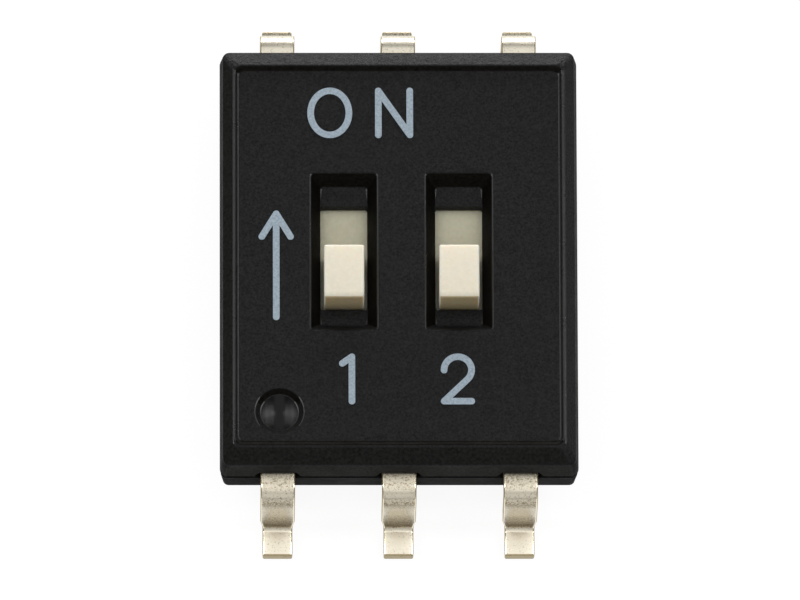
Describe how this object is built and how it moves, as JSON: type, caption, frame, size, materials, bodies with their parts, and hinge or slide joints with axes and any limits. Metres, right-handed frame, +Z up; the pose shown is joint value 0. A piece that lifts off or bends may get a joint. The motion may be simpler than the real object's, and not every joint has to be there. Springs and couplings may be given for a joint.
{
  "type": "surface-mount dip switch",
  "caption": "Flat black slide-switch block with recessed cream sliders in sloped wells and plated gull-wing leads along two sides.",
  "frame": {"origin": "middle of the package, on the seating plane under the six feet", "axes": "+Y towards the ON end along the travel of the sliders, +Z up out of the board, +X to the right seen from above with ON at the top"},
  "size_m": [0.0076, 0.0116, 0.0033],
  "materials": {
    "cover_plastic": "fine-grained black moulding",
    "base_plastic": "satin black moulding",
    "lead_plating": "warm matte tin plate",
    "slider_plastic": "smooth cream moulding",
    "contact_gold": "gold-plated strip",
    "spring_steel": "drawn wire",
    "ink": "pale blue-grey print"
  },
  "bodies": {
    "housing": {"cover": "cover_plastic", "base": "base_plastic", "terminal_1": "lead_plating", "terminal_2": "lead_plating", "terminal_3": "lead_plating", "terminal_4": "lead_plating", "terminal_5": "lead_plating", "terminal_6": "lead_plating", "legend_o": "ink", "legend_n": "ink", "legend_one": "ink", "legend_two": "ink", "legend_arrow": "ink"},
    "switch_1": {"slider_1": "slider_plastic", "contact_bridge_1": "contact_gold", "contact_spring_1": "spring_steel"},
    "switch_2": {"slider_2": "slider_plastic", "contact_bridge_2": "contact_gold", "contact_spring_2": "spring_steel"}
  },
  "joints": [
    {"name": "slide_1", "type": "slide", "parent": "housing", "child": "switch_1", "axis": [0, 1, 0], "range_m": [0, 0.00105]},
    {"name": "slide_2", "type": "slide", "parent": "housing", "child": "switch_2", "axis": [0, 1, 0], "range_m": [0, 0.00105]}
  ]
}
